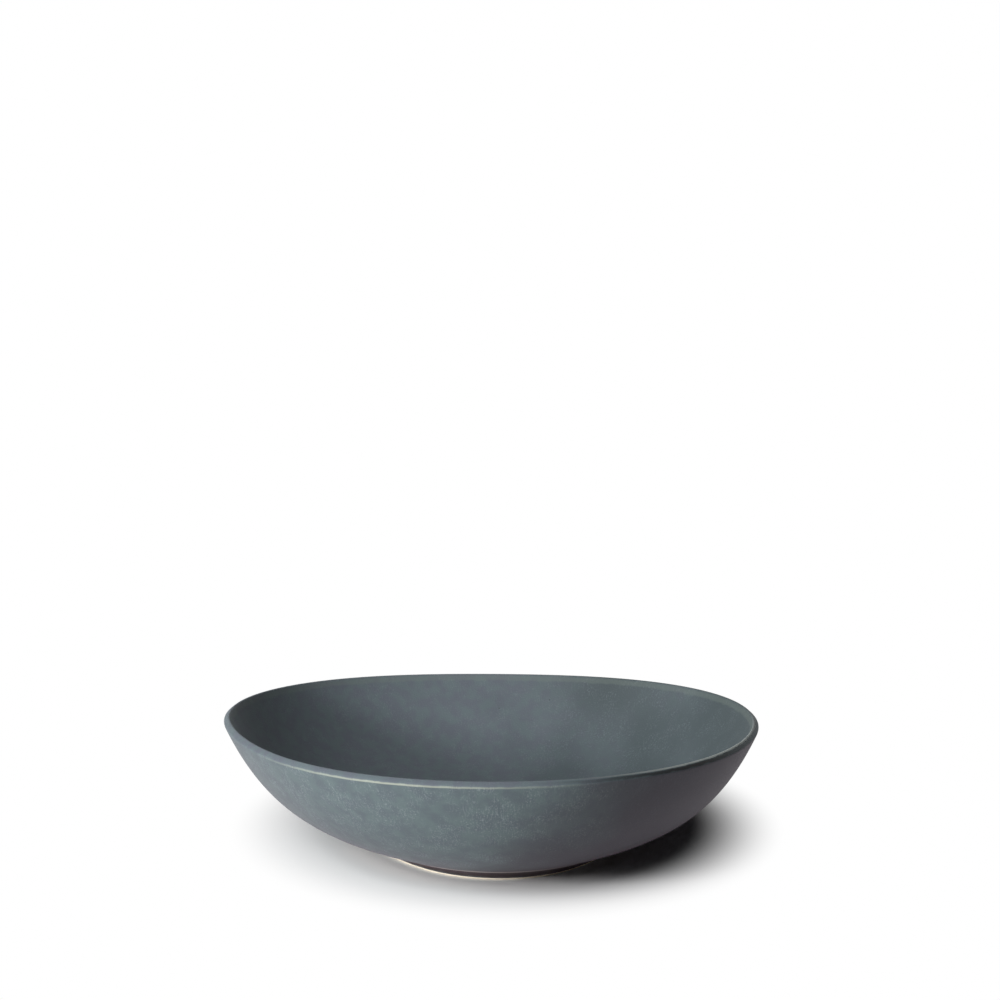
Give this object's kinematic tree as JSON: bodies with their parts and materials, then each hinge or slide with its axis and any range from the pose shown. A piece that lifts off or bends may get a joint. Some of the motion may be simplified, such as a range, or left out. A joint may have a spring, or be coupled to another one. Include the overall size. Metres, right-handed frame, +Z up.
{
  "type": "deep plate",
  "caption": "Deep stoneware plate with a soft three-sided outline, a slanted lip and a bevelled foot ring, in satin blue-grey glaze, for soup, pasta and served food.",
  "frame": {"origin": "middle of the plan outline's box, on the surface that the foot stands on", "axes": "+Z up out of the bowl, +X to the right and +Y away from the viewer of the picture"},
  "size_m": [0.224, 0.2214, 0.0538],
  "materials": {
    "bare_stoneware": "bare fired clay, fine grained and matt",
    "liner_glaze": "satin blue-grey glaze with fine specks",
    "outer_glaze": "satin blue-grey glaze with pale blue-green flecks, breaking pale on the lip edge",
    "well_glaze": "satin blue-grey glaze"
  },
  "bodies": {
    "root": {"clay_body": "bare_stoneware", "inner_glaze": "liner_glaze", "outer_glaze": "outer_glaze", "base_glaze": "well_glaze"}
  },
  "joints": []
}
